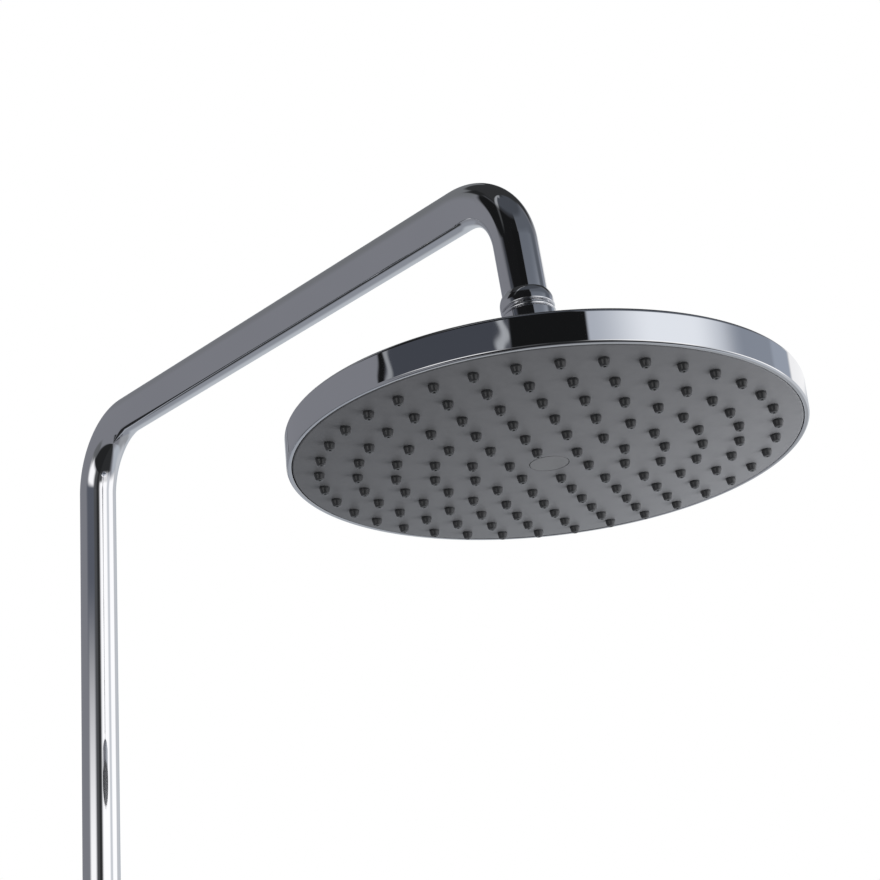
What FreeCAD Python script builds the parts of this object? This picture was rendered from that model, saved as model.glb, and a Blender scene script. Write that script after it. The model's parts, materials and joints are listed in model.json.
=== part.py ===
import FreeCAD, Part
import math
import os
import Sketcher

# A wall-held shower system: one bent tube that rises from a union nut, reaches out and drops to a ball joint
# with a round overhead shower. Millimetres and degrees. The origin is the centre of the union nut's lower
# face, +Z is up, the wall lies at +Y and the arm reaches towards -Y.

SIZES = {
    # Bent tube
    "tube_diameter": 22,
    "tube_wall": 1.2,
    "arm_height": 900,
    "arm_reach": 400,
    "riser_bend_radius": 40,
    "drop_bend_radius": 40,
    "drop_lean": 7.8,
    "drop_length": 65.9,
    # Flanged tail pieces brazed into both tube ends
    "braze_gap": 0.05,
    "tail_wall": 1.8,
    "tail_flange_diameter": 23.6,
    "tail_spigot_length": 16,
    "nut_running_gap": 0.15,
    # Union nut at the foot
    "inlet_thread_diameter": 24.12,
    "inlet_thread_length": 10,
    "inlet_relief_diameter": 24.8,
    "foot_washer_thickness": 2,
    "foot_flange_thickness": 2,
    "union_nut_across_flats": 30,
    "union_nut_back": 4,
    "washer_bore": 15.6,
    "washer_side_gap": 0.3,
    # Joint at the end of the drop
    "collar_diameter": 26,
    "arm_flange_thickness": 1.8,
    "arm_washer_thickness": 1.5,
    "arm_nut_cover": 2.5,
    "arm_nut_shoulder_radius": 9,
    "arm_nut_top_land": 0.2,
    "arm_thread_diameter": 23.7,
    "arm_thread_length": 3.2,
    "thread_gap": 0.1,
    "swivel_ring_height": 2,
    "swivel_ring_bevel": 0.4,
    "ring_gap_above": 1,
    "ring_gap_below": 0.3,
    "ball_thread_diameter": 22.8,
    "ball_thread_length": 14.2,
    "swivel_bore": 13,
    "swivel_bell": 16.8,
    "swivel_bell_depth": 4,
    "limiter_thickness": 1.4,
    "limiter_orifice": 4,
    "strainer_thickness": 0.8,
    "strainer_eye": 9,
    "disc_diameter": 17.8,
    "disc_side_gap": 0.1,
    # Ball and its seats
    "ball_diameter": 19,
    "ball_gap": 0.1,
    "seal_seat_height": 7,
    "seal_height": 3.5,
    "seat_ring_top": 0.8,
    "seat_ring_height": 4.7,
    "seat_diameter": 20.2,
    "seat_side_gap": 0.1,
    "ball_nut_step_gap": 0.5,
    "ball_nut_lip": 2.5,
    "ball_nut_throat": 16,
    "ball_nut_mouth": 18.4,
    # Stem of the ball
    "stem_diameter": 11,
    "stem_bore": 7.2,
    "ball_mouth": 9.6,
    "ball_mouth_chamfer": 1.2,
    "stem_flange_diameter": 24,
    "stem_flange_thickness": 3.5,
    "stem_thread_diameter": 16,
    "stem_thread_overrun": 1,
    "stem_washer_thickness": 1.5,
    "stem_washer_diameter": 23,
    "stem_nut_across_flats": 24,
    "stem_nut_height": 6,
    # Head shell
    "head_lean": 2.7,
    "lip_drop": 48.5,
    "head_diameter": 240,
    "band_height": 16,
    "band_wall": 2.4,
    "top_edge_radius": 2,
    "top_dome_radius": 700,
    "top_wall": 2.2,
    "boss_diameter": 34,
    "boss_height": 30,
    "boss_flare": 6,
    "boss_flare_rise": 3.5,
    "stem_hole_gap": 0.2,
    "nut_pad_diameter": 30,
    "nut_pad_height": 20,
    # Spray plate
    "plate_gap": 0.7,
    "plate_thickness": 2.2,
    "plate_sag": 5.7,
    "plate_hub_diameter": 18,
    "plate_hub_height": 3,
    "cap_diameter": 18,
    "cap_thickness": 1.2,
    "cap_gap": 0.1,
    # Nozzles
    "nozzle_rings": 6,
    "nozzles_per_ring_step": 6,
    "first_ring_radius": 18.6,
    "ring_pitch": 17.33,
    "spoke_turn": 2.45,
    "nozzle_sides": 8,
    "nozzle_base_diameter": 5.2,
    "nozzle_tip_diameter": 3.3,
    "nozzle_height": 3.8,
    "nozzle_gap": 0.12,
    "mat_thickness": 1.5,
    "mat_gap": 0.05,
    "mat_margin": 5.5,
    "mat_hub_gap": 0.3,
    # Distributor plate and its screws
    "distributor_height": 6,
    "distributor_thickness": 2.2,
    "distributor_rim": 4,
    "distributor_hub_diameter": 14,
    "feed_holes": 8,
    "feed_hole_diameter": 12,
    "feed_ring_radius": 55,
    "screw_count": 4,
    "screw_ring_radius": 90,
    "screw_boss_diameter": 8,
    "screw_diameter": 3,
    "screw_length": 7,
    "screw_head_diameter": 5.6,
    "screw_head_height": 1.8,
    "screw_gap": 0.1,
    # Screw under the cap
    "centre_screw_diameter": 4,
    "centre_screw_length": 9,
    "centre_head_diameter": 7.4,
    "centre_head_height": 2.2,
    "centre_head_gap": 0.2,
    # Wall bracket
    "bracket_height": 540,
    "wall_distance": 60,
    "base_diameter": 44,
    "base_thickness": 4,
    "stud_diameter": 12,
    "stud_length": 22,
    "wall_screw_hole": 4.8,
    "wall_screw_spacing": 28,
    "rosette_diameter": 54,
    "rosette_depth": 13,
    "rosette_wall": 1.6,
    "rosette_bevel": 2.5,
    "post_diameter": 18,
    "post_gap": 0.1,
    "post_wall_clearance": 6,
    "holder_ring_diameter": 31,
    "holder_height": 24,
    "liner_wall": 1.2,
    "liner_gap": 0.05,
    "liner_slot_angle": 8,
    "grub_diameter": 4,
    "grub_gap": 0.1,
    "grub_sink": 0.3,
}

doc = FreeCAD.newDocument("shower_system")
size = doc.addObject("Spreadsheet::Sheet", "size")
for row, (alias, number) in enumerate(SIZES.items(), start=1):
    size.set(f"A{row}", alias)
    size.set(f"B{row}", str(number))
    size.setAlias(f"B{row}", alias)
doc.recompute()


def value(expression):
    """The number that an expression in the sheet's sizes works out to."""
    return float(size.evalExpression(expression))


def whole(expression):
    """A count from the sheet."""
    return int(round(value(expression)))


# Sketches and features

def new_body(label):
    body = doc.addObject("PartDesign::Body", label)
    body.Label = label
    return body


def origin_of(body, role):
    return next(feature for feature in body.Origin.OriginFeatures if feature.Role == role)


def sketch_on(body, plane, name, lift=None):
    """A sketch on one of the body's own planes, lifted along the plane's normal by an expression."""
    sketch = body.newObject("Sketcher::SketchObject", f"{body.Label}_{name}")
    sketch.AttachmentSupport = (origin_of(body, plane), [""])
    sketch.MapMode = "FlatFace"
    if lift:
        sketch.setExpression("AttachmentOffset.Base.z", lift)
    return sketch


def bind(sketch, constraint, expression):
    number = sketch.addConstraint(constraint)
    sketch.setExpression(f"Constraints[{number}]", expression)


def pin(sketch, line, end, across, up):
    """Hold one point of a sketch at the values of two expressions."""
    for axis, kind, expression in ((-2, "DistanceX", across), (-1, "DistanceY", up)):
        if expression == "0":
            sketch.addConstraint(Sketcher.Constraint("PointOnObject", line, end, axis))
        else:
            reach = value(expression)
            bind(sketch, Sketcher.Constraint(kind, -1, 1, line, end, reach), expression)


def arc_between(start, finish, radius, turn):
    """The short arc from start to finish, turning left (1) or right (-1)."""
    chord = finish - start
    half = chord.Length / 2
    side = FreeCAD.Vector(-chord.y, chord.x, 0).normalize()
    centre = (start + finish) / 2 + side * (turn * math.sqrt(radius ** 2 - half ** 2))
    first, last = (start, finish) if turn > 0 else (finish, start)
    angles = [math.atan2(point.y - centre.y, point.x - centre.x) for point in (first, last)]
    return Part.ArcOfCircle(Part.Circle(centre, FreeCAD.Vector(0, 0, 1), radius), *angles)


ROUND = 1
HOLLOW = -1


def draw(sketch, corners, closed=True):
    """Join the corners (across, up) by straight runs, or by an arc where a corner adds (radius, turn)."""
    spots = [FreeCAD.Vector(value(corner[0]), value(corner[1]), 0) for corner in corners]
    runs = len(corners) if closed else len(corners) - 1
    ends = []
    first = sketch.GeometryCount
    for index in range(runs):
        start, finish = spots[index], spots[(index + 1) % len(spots)]
        if len(corners[index]) == 2:
            sketch.addGeometry(Part.LineSegment(start, finish))
            ends.append((1, 2))
        else:
            radius, turn = corners[index][2:]
            line = sketch.addGeometry(arc_between(start, finish, value(radius), turn))
            bind(sketch, Sketcher.Constraint("Radius", line, value(radius)), radius)
            ends.append((1, 2) if turn == ROUND else (2, 1))
    for index in range(runs):
        pin(sketch, first + index, ends[index][0], *corners[index][:2])
        if index + 1 < runs or closed:
            following = (index + 1) % runs
            joint = (first + index, ends[index][1], first + following, ends[following][0])
            sketch.addConstraint(Sketcher.Constraint("Coincident", *joint))
        else:
            pin(sketch, first + index, ends[index][1], *corners[-1][:2])
    return sketch


def circle(sketch, across, up, radius):
    middle = FreeCAD.Vector(value(across), value(up), 0)
    ring = Part.Circle(middle, FreeCAD.Vector(0, 0, 1), value(radius))
    line = sketch.addGeometry(ring)
    bind(sketch, Sketcher.Constraint("Radius", line, value(radius)), radius)
    pin(sketch, line, 3, across, up)
    return sketch


def polygon(sides, radius, across="0", up="0"):
    """Corners of a regular polygon given by its outer radius and its middle."""
    corners = []
    for index in range(sides):
        angle = 360 * (index + 0.5) / sides
        corners.append((f"{across} + {radius} * cos({angle} deg)", f"{up} + {radius} * sin({angle} deg)"))
    return corners


def spin(body, corners, arc="360"):
    """Turn an outline of (radius, height) corners about the body's Z axis."""
    sketch = draw(sketch_on(body, "XZ_Plane", "outline"), corners)
    feature = body.newObject("PartDesign::Revolution", f"{body.Label}_spin")
    feature.Profile = sketch
    feature.ReferenceAxis = (sketch, ["V_Axis"])
    feature.setExpression("Angle", arc)
    return feature


def pad(body, sketch, length, reverse=False, taper=None):
    feature = body.newObject("PartDesign::Pad", f"{sketch.Label}_pad")
    feature.Profile = sketch
    feature.setExpression("Length", length)
    feature.Reversed = reverse
    if taper:
        feature.setExpression("TaperAngle", taper)
    return feature


def pocket(body, sketch, length=None, reverse=False, taper=None):
    """Cut a sketch away, right through both ways where no length is given."""
    feature = body.newObject("PartDesign::Pocket", f"{sketch.Label}_cut")
    feature.Profile = sketch
    if length:
        feature.setExpression("Length", length)
        feature.Reversed = reverse
    else:
        feature.Type = "ThroughAll"
        feature.SideType = "Symmetric"
    if taper:
        feature.setExpression("TaperAngle", taper)
    return feature


def repeat_round(body, features, count):
    """Repeat features evenly round the body's Z axis."""
    pattern = body.newObject("PartDesign::PolarPattern", f"{features[0].Label}_round")
    pattern.Originals = features
    pattern.Axis = (origin_of(body, "Z_Axis"), [""])
    pattern.Angle = 360
    pattern.setExpression("Occurrences", count)
    body.Tip = pattern
    return pattern


def set_place(piece, across="0", along="0", up="0", turn=None, axis=(-1, 0, 0)):
    """Put a piece's own frame at a point, turned about an axis."""
    if turn:
        piece.Placement = FreeCAD.Placement(
            FreeCAD.Vector(), FreeCAD.Rotation(FreeCAD.Vector(*axis), value(turn)))
        piece.setExpression("Placement.Rotation.Angle", turn)
    piece.setExpression("Placement.Base.x", across)
    piece.setExpression("Placement.Base.y", along)
    piece.setExpression("Placement.Base.z", up)


def turned(label, corners, place, arc="360"):
    """A piece that is wholly a turned outline."""
    body = new_body(label)
    spin(body, corners, arc)
    place(body)
    return body


def washer(label, bore, outside, bottom, top, place):
    return turned(label, [(bore, bottom), (outside, bottom), (outside, top), (bore, top)], place)


# Radii and stations along the tube

tube_radius = "(size.tube_diameter / 2)"
tube_bore = f"({tube_radius} - size.tube_wall)"
tube_foot = "(size.inlet_thread_length + size.foot_washer_thickness + size.foot_flange_thickness)"
lean = "(size.drop_lean * 1 deg)"
spigot_radius = f"({tube_bore} - size.braze_gap)"
spigot_bore = f"({spigot_radius} - size.tail_wall)"
flange_radius = "(size.tail_flange_diameter / 2)"
nut_pass_radius = f"({tube_radius} + size.nut_running_gap)"


def along_drop(distance):
    """Y of the point on the drop's axis at a distance from the corner of the tube's axis."""
    return f"(-size.arm_reach - {distance} * sin({lean}))"


def down_drop(distance):
    """Z of the point on the drop's axis at a distance from the corner of the tube's axis."""
    return f"(size.arm_height - {distance} * cos({lean}))"


# Heights in the frame of the ball's centre, up along the drop

body_bottom = "size.seal_seat_height"
ring_bottom = f"({body_bottom} + size.ball_thread_length)"
ring_top = f"({ring_bottom} + size.swivel_ring_height)"
body_top = f"({ring_top} + size.arm_thread_length)"
arm_flange_bottom = f"({body_top} + size.arm_washer_thickness)"
tube_end = f"({arm_flange_bottom} + size.arm_flange_thickness)"
ball_drop = f"(size.drop_length + {tube_end})"
ball_along = along_drop(ball_drop)
ball_up = down_drop(ball_drop)
head_tilt = "(size.head_lean * 1 deg)"


def at_foot(piece):
    set_place(piece)


def at_ball(piece):
    """Frame of the ball's centre, leaning with the drop."""
    set_place(piece, along=ball_along, up=ball_up, turn="size.drop_lean")


def at_head(piece):
    """Frame of the head: the middle of its lip, hung from the ball's centre."""
    set_place(
        piece,
        along=f"{ball_along} - size.lip_drop * sin({head_tilt})",
        up=f"{ball_up} - size.lip_drop * cos({head_tilt})",
        turn="size.head_lean",
    )


def at_riser(piece):
    """Frame of the wall bracket on the riser's axis."""
    set_place(piece, up="size.bracket_height")


def at_wall(piece):
    """Frame of the wall plate: local Z points out of the wall towards the riser."""
    set_place(piece, along="size.wall_distance", up="size.bracket_height", turn="90", axis=(1, 0, 0))


def build_riser_pipe():
    """Riser, arm and drop: one tube bent twice, its axis made of straight runs and two arcs."""
    body = new_body("riser_pipe")
    corner_length = f"(size.drop_bend_radius * tan((90 deg - {lean}) / 2))"
    bend_top = f"(-size.arm_reach + {corner_length})"
    path = sketch_on(body, "YZ_Plane", "axis")
    draw(path, [
        ("0", tube_foot),
        ("0", "size.arm_height - size.riser_bend_radius", "size.riser_bend_radius", ROUND),
        ("-size.riser_bend_radius", "size.arm_height"),
        (bend_top, "size.arm_height", "size.drop_bend_radius", ROUND),
        (along_drop(corner_length), down_drop(corner_length)),
        (along_drop("size.drop_length"), down_drop("size.drop_length")),
    ], closed=False)
    section = sketch_on(body, "XY_Plane", "section", tube_foot)
    circle(section, "0", "0", tube_radius)
    circle(section, "0", "0", tube_bore)
    pipe = body.newObject("PartDesign::AdditivePipe", "riser_pipe_bent")
    pipe.Profile = section
    pipe.Spine = path
    at_foot(body)


def build_tail(label, flange_bottom, flange_top, place):
    """Flanged spigot brazed into a tube end, for a nut to pull on."""
    turned(label, [
        (spigot_bore, flange_bottom),
        (flange_radius, flange_bottom),
        (flange_radius, flange_top),
        (spigot_radius, flange_top),
        (spigot_radius, f"{flange_top} + size.tail_spigot_length"),
        (spigot_bore, f"{flange_top} + size.tail_spigot_length"),
    ], place)


def cut_hexagon(body, across_flats):
    """Mill six flats on a turned blank."""
    sketch = sketch_on(body, "XY_Plane", "flats")
    draw(sketch, polygon(6, f"({across_flats} / sqrt(3))"))
    circle(sketch, "0", "0", f"{across_flats}")
    pocket(body, sketch)


def build_union_nut():
    body = new_body("union_nut")
    blank = "(size.union_nut_across_flats / sqrt(3))"
    top = f"({tube_foot} + size.union_nut_back)"
    thread = "size.inlet_thread_diameter / 2"
    relief = "size.inlet_relief_diameter / 2"
    spin(body, [
        (thread, "0"),
        (blank, "0"),
        (blank, top),
        (nut_pass_radius, top),
        (nut_pass_radius, tube_foot),
        (relief, tube_foot),
        (relief, "size.inlet_thread_length"),
        (thread, "size.inlet_thread_length"),
    ])
    cut_hexagon(body, "size.union_nut_across_flats")
    at_foot(body)


def build_foot_washer():
    washer(
        "foot_washer",
        "size.washer_bore / 2",
        "size.inlet_thread_diameter / 2 - size.washer_side_gap",
        "size.inlet_thread_length",
        "size.inlet_thread_length + size.foot_washer_thickness",
        at_foot,
    )


collar_radius = "(size.collar_diameter / 2)"
arm_thread = "(size.arm_thread_diameter / 2)"
ball_thread = "(size.ball_thread_diameter / 2)"
disc_seat = "(size.disc_diameter / 2 + size.disc_side_gap)"
disc_floor = f"({body_top} - size.limiter_thickness - size.strainer_thickness)"


def build_arm_nut():
    """Union nut on the drop, with a rounded shoulder that runs up onto the tube."""
    shoulder = f"({nut_pass_radius} + size.arm_nut_top_land)"
    inset = f"({collar_radius} - {shoulder})"
    bend = "size.arm_nut_shoulder_radius"
    rise = f"sqrt({bend} ^ 2 - ({bend} - {inset}) ^ 2)"
    top = f"({tube_end} + size.arm_nut_cover)"
    bottom = f"({ring_top} + size.ring_gap_above)"
    thread = f"({arm_thread} + size.thread_gap)"
    turned("arm_nut", [
        (thread, bottom),
        (collar_radius, bottom),
        (collar_radius, f"{top} - {rise}", bend, ROUND),
        (shoulder, top),
        (nut_pass_radius, top),
        (nut_pass_radius, tube_end),
        (thread, tube_end),
    ], at_ball)


def build_arm_washer():
    washer(
        "arm_washer",
        "size.washer_bore / 2",
        f"{arm_thread} - size.washer_side_gap",
        body_top,
        arm_flange_bottom,
        at_ball,
    )


def build_swivel_body():
    """Double-threaded body of the swivel with a bevelled ring between its threads."""
    bevel = f"({collar_radius} - size.swivel_ring_bevel)"
    bell = "size.swivel_bell / 2"
    bell_top = f"({body_bottom} + size.swivel_bell_depth)"
    turned("swivel_body", [
        (bell, body_bottom),
        (ball_thread, body_bottom),
        (ball_thread, ring_bottom),
        (bevel, ring_bottom),
        (collar_radius, f"{ring_bottom} + size.swivel_ring_bevel"),
        (collar_radius, f"{ring_top} - size.swivel_ring_bevel"),
        (bevel, ring_top),
        (arm_thread, ring_top),
        (arm_thread, body_top),
        (disc_seat, body_top),
        (disc_seat, disc_floor),
        ("size.swivel_bore / 2", disc_floor),
        ("size.swivel_bore / 2", bell_top),
        (bell, bell_top),
    ], at_ball)


def build_inlet_discs():
    """Flow limiter and sieve, stacked in the top of the swivel body."""
    disc = "size.disc_diameter / 2"
    limiter_top = f"({disc_floor} + size.limiter_thickness)"
    washer("flow_limiter", "size.limiter_orifice / 2", disc, disc_floor, limiter_top, at_ball)
    washer("inlet_strainer", "size.strainer_eye / 2", disc, limiter_top, body_top, at_ball)


seat_sphere = "(size.ball_diameter / 2 + size.ball_gap)"
seat_radius = "(size.seat_diameter / 2)"
seat_bottom = "(-size.seat_ring_top - size.seat_ring_height)"
chamber_radius = f"({seat_radius} + size.seat_side_gap)"


def on_sphere(sphere, height):
    """Radius of a sphere about the ball's centre at a height."""
    return f"sqrt({sphere} ^ 2 - ({height}) ^ 2)"


def build_ball_nut():
    """Plain nut that holds the ball: a threaded skirt, a seat chamber and a flared mouth for the stem."""
    top = f"({ring_bottom} - size.ring_gap_below)"
    floor = f"({seat_bottom} - size.seat_side_gap)"
    bottom = f"({floor} - size.ball_nut_lip)"
    step = f"({body_bottom} - size.ball_nut_step_gap)"
    thread = f"({ball_thread} + size.thread_gap)"
    turned("ball_nut", [
        ("size.ball_nut_mouth / 2", bottom),
        (collar_radius, bottom),
        (collar_radius, top),
        (thread, top),
        (thread, step),
        (chamber_radius, step),
        (chamber_radius, floor),
        ("size.ball_nut_throat / 2", floor),
    ], at_ball)


def build_ball_seats():
    """Seal ring above the ball and bearing ring below it, both hollowed to the ball."""
    seal_bottom = f"({body_bottom} - size.seal_height)"
    turned("ball_seal", [
        (on_sphere(seat_sphere, seal_bottom), seal_bottom),
        (seat_radius, seal_bottom),
        (seat_radius, body_bottom),
        (on_sphere(seat_sphere, body_bottom), body_bottom, seat_sphere, HOLLOW),
    ], at_ball)
    seat_top = "(-size.seat_ring_top)"
    turned("ball_seat_ring", [
        (on_sphere(seat_sphere, seat_bottom), seat_bottom),
        (seat_radius, seat_bottom),
        (seat_radius, seat_top),
        (on_sphere(seat_sphere, seat_top), seat_top, seat_sphere, HOLLOW),
    ], at_ball)


# Head: heights above the plane of its lip

stem_radius = "(size.stem_diameter / 2)"
stem_bore = "(size.stem_bore / 2)"
stem_thread = "(size.stem_thread_diameter / 2)"
ball_radius = "(size.ball_diameter / 2)"
stem_flange_bottom = "(size.boss_height + size.stem_washer_thickness)"
stem_flange_top = f"({stem_flange_bottom} + size.stem_flange_thickness)"
stem_nut_bottom = "(size.nut_pad_height - size.stem_nut_height)"


def build_swivel_ball():
    """Hollow ball on a stem with a flange and a thread for the head."""
    stem_bottom = f"({stem_nut_bottom} - size.stem_thread_overrun)"
    neck_top = f"(size.lip_drop - {on_sphere(ball_radius, stem_radius)})"
    mouth = "(size.ball_mouth / 2)"
    mouth_top = f"(size.lip_drop + {on_sphere(ball_radius, mouth)})"
    flange = "(size.stem_flange_diameter / 2)"
    turned("swivel_ball", [
        (stem_bore, stem_bottom),
        (stem_thread, stem_bottom),
        (stem_thread, stem_flange_bottom),
        (flange, stem_flange_bottom),
        (flange, stem_flange_top),
        (stem_radius, stem_flange_top),
        (stem_radius, neck_top, ball_radius, ROUND),
        (mouth, mouth_top),
        (stem_bore, f"{mouth_top} - size.ball_mouth_chamfer"),
    ], at_head)


def build_stem_fixings():
    """Seal under the ball's flange and the nut inside the head."""
    hole = f"({stem_thread} + size.stem_hole_gap)"
    washer(
        "stem_washer", hole, "size.stem_washer_diameter / 2", "size.boss_height", stem_flange_bottom, at_head)
    body = new_body("stem_nut")
    thread = f"({stem_thread} + size.thread_gap)"
    blank = "(size.stem_nut_across_flats / sqrt(3))"
    spin(body, [
        (thread, stem_nut_bottom),
        (blank, stem_nut_bottom),
        (blank, "size.nut_pad_height"),
        (thread, "size.nut_pad_height"),
    ])
    cut_hexagon(body, "size.stem_nut_across_flats")
    at_head(body)


head_radius = "(size.head_diameter / 2)"
band_bore = f"({head_radius} - size.band_wall)"
lip_radius = "(size.band_wall / 2)"
dome_edge = f"({head_radius} - size.top_edge_radius)"
dome_centre = f"(size.band_height - sqrt(size.top_dome_radius ^ 2 - {dome_edge} ^ 2))"
distributor_top = "(size.distributor_height + size.distributor_thickness)"


def dome_height(radius, wall="0"):
    """Height of the domed top at a radius, or of its inside under a wall."""
    return f"({dome_centre} + sqrt((size.top_dome_radius - {wall}) ^ 2 - ({radius}) ^ 2))"


def build_top_shell():
    """Chromed shell: rounded lip, upright band, low dome, flared boss and the screw posts inside."""
    body = new_body("top_shell")
    boss = "(size.boss_diameter / 2)"
    flare = f"({boss} + size.boss_flare)"
    hole = f"({stem_thread} + size.stem_hole_gap)"
    nut_pad = "(size.nut_pad_diameter / 2)"
    inside = "(size.top_dome_radius - size.top_wall)"
    spin(body, [
        (band_bore, lip_radius, lip_radius, ROUND),
        (f"{band_bore} + {lip_radius}", "0", lip_radius, ROUND),
        (head_radius, lip_radius),
        (head_radius, "size.band_height - size.top_edge_radius", "size.top_edge_radius", ROUND),
        (dome_edge, "size.band_height", "size.top_dome_radius", ROUND),
        (flare, dome_height(flare)),
        (boss, f"{dome_height(flare)} + size.boss_flare_rise"),
        (boss, "size.boss_height"),
        (hole, "size.boss_height"),
        (hole, "size.nut_pad_height"),
        (nut_pad, "size.nut_pad_height"),
        (nut_pad, dome_height(nut_pad, "size.top_wall"), inside, HOLLOW),
        (band_bore, dome_height(band_bore, "size.top_wall")),
    ])
    posts = sketch_on(body, "XY_Plane", "post", distributor_top)
    circle(posts, "size.screw_ring_radius", "0", "size.screw_boss_diameter / 2")
    post_top = f"{dome_height('size.screw_ring_radius')} - size.top_wall / 2"
    post = pad(body, posts, f"{post_top} - {distributor_top}")
    pilots = sketch_on(body, "XY_Plane", "pilot", distributor_top)
    circle(pilots, "size.screw_ring_radius", "0", "size.screw_diameter / 2 + size.screw_gap")
    grip = "(size.screw_length - size.distributor_thickness + size.screw_gap)"
    pilot = pocket(body, pilots, grip, reverse=True)
    repeat_round(body, [post, pilot], "size.screw_count")
    at_head(body)


plate_radius = f"({band_bore} - size.plate_gap)"
plate_bend = f"(({plate_radius} ^ 2 + size.plate_sag ^ 2) / (2 * size.plate_sag))"
plate_centre = f"({plate_bend} - size.plate_sag)"
mat_radius = f"({plate_radius} - size.mat_margin)"
plate_hub = "(size.plate_hub_diameter / 2)"
hub_top = "(-size.plate_sag + size.plate_thickness + size.plate_hub_height)"
cap_top = "(-size.plate_sag + size.cap_thickness)"
head_seat = f"({cap_top} + size.centre_head_height)"


def bowl_height(radius, lift="0"):
    """Height of the spray plate's underside at a radius, or of a layer lifted above it."""
    return f"({plate_centre} - sqrt(({plate_bend} - ({lift})) ^ 2 - ({radius}) ^ 2))"


mat_lift = "(size.plate_thickness + size.mat_gap)"
mat_top_lift = f"({mat_lift} + size.mat_thickness)"
taper = "atan((size.nozzle_base_diameter - size.nozzle_tip_diameter) / 2 / size.nozzle_height)"


def nozzle_set(label, drop, outer_radius, length):
    """Tapered pegs for every nozzle, each ring starting a drop below the spray plate's underside."""
    body = new_body(label)
    turn = "(size.spoke_turn * 1 deg)"
    for ring in range(1, whole("size.nozzle_rings") + 1):
        radius = f"(size.first_ring_radius + {ring - 1} * size.ring_pitch)"
        sketch = sketch_on(body, "XY_Plane", f"ring_{ring}", f"{bowl_height(radius)} - {drop}")
        middle = (f"{radius} * sin({turn})", f"-{radius} * cos({turn})")
        draw(sketch, polygon(whole("size.nozzle_sides"), outer_radius, *middle))
        peg = pad(body, sketch, length, taper=taper)
        ring_of_pegs = repeat_round(body, [peg], f"size.nozzles_per_ring_step * {ring}")
        peg.Refine = ring_of_pegs.Refine = False
    return body


def combine(body, kind, tool):
    """Join another body to this one, or cut it away."""
    feature = body.newObject("PartDesign::Boolean", f"{body.Label}_{kind.lower()}")
    feature.Type = kind
    feature.setObjects([tool])
    feature.Refine = False
    body.Tip = feature


def build_faceplate():
    """Domed spray plate with rings of tapered holes, a hub for the centre screw and a recess for the cap."""
    body = new_body("faceplate")
    cap_seat = "(size.cap_diameter / 2 + size.cap_gap)"
    head_bore = "(size.centre_head_diameter / 2 + size.centre_head_gap)"
    screw_hole = "(size.centre_screw_diameter / 2 + size.screw_gap)"
    inside = f"({plate_bend} - size.plate_thickness)"
    spin(body, [
        (screw_hole, head_seat),
        (head_bore, head_seat),
        (head_bore, cap_top),
        (cap_seat, cap_top),
        (cap_seat, bowl_height(cap_seat), plate_bend, ROUND),
        (plate_radius, bowl_height(plate_radius)),
        (plate_radius, bowl_height(plate_radius, "size.plate_thickness"), inside, HOLLOW),
        (plate_hub, bowl_height(plate_hub, "size.plate_thickness")),
        (plate_hub, hub_top),
        (screw_hole, hub_top),
    ])
    start = "size.plate_thickness / 2"
    mouth = f"(size.nozzle_base_diameter / 2 + size.nozzle_gap - {start} * tan({taper}))"
    holes = nozzle_set("faceplate_holes", start, mouth, f"3 * {start} + size.mat_thickness")
    combine(body, "Cut", holes)
    at_head(body)


def build_nozzle_mat():
    """Rubber mat that follows the plate, with a tapered nozzle through every hole."""
    body = new_body("nozzle_mat")
    hub = f"({plate_hub} + size.mat_hub_gap)"
    spin(body, [
        (hub, bowl_height(hub, mat_lift), f"({plate_bend} - {mat_lift})", ROUND),
        (mat_radius, bowl_height(mat_radius, mat_lift)),
        (mat_radius, bowl_height(mat_radius, mat_top_lift), f"({plate_bend} - {mat_top_lift})", HOLLOW),
        (hub, bowl_height(hub, mat_top_lift)),
    ])
    length = f"size.nozzle_height + {mat_lift} + size.mat_thickness / 2"
    nozzles = nozzle_set("mat_nozzles", "size.nozzle_height", "size.nozzle_tip_diameter / 2", length)
    combine(body, "Fuse", nozzles)
    at_head(body)


def build_distributor():
    """Plate that spreads the water: a hub for the centre screw, a rim that holds the mat and feed holes."""
    body = new_body("distributor_plate")
    pilot = "(size.centre_screw_diameter / 2 + size.screw_gap)"
    hub = "(size.distributor_hub_diameter / 2)"
    rim_bottom = f"({bowl_height(mat_radius, mat_top_lift)} + size.mat_gap)"
    rim_bore = f"({mat_radius} - size.distributor_rim)"
    pilot_top = f"({head_seat} + size.centre_screw_length + size.screw_gap)"
    spin(body, [
        (pilot, hub_top),
        (hub, hub_top),
        (hub, "size.distributor_height"),
        (rim_bore, "size.distributor_height"),
        (rim_bore, rim_bottom),
        (mat_radius, rim_bottom),
        (mat_radius, distributor_top),
        ("0", distributor_top),
        ("0", pilot_top),
        (pilot, pilot_top),
    ])
    feed = sketch_on(body, "XY_Plane", "feed")
    circle(feed, "size.feed_ring_radius", "0", "size.feed_hole_diameter / 2")
    repeat_round(body, [pocket(body, feed)], "size.feed_holes")
    screws = sketch_on(body, "XY_Plane", "screw")
    circle(screws, "size.screw_ring_radius", "0", "size.screw_diameter / 2 + size.screw_gap")
    repeat_round(body, [pocket(body, screws)], "size.screw_count")
    at_head(body)


def build_centre_fixing():
    """Screw through the middle of the spray plate and the cap that covers it."""
    shank = "(size.centre_screw_diameter / 2)"
    head = "(size.centre_head_diameter / 2)"
    top = f"({head_seat} + size.centre_screw_length)"
    turned("centre_screw", [
        ("0", cap_top),
        (head, cap_top),
        (head, head_seat),
        (shank, head_seat),
        (shank, top),
        ("0", top),
    ], at_head)
    cap = "size.cap_diameter / 2"
    turned("centre_cap", [
        ("0", "-size.plate_sag"),
        (cap, "-size.plate_sag"),
        (cap, cap_top),
        ("0", cap_top),
    ], at_head)


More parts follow.
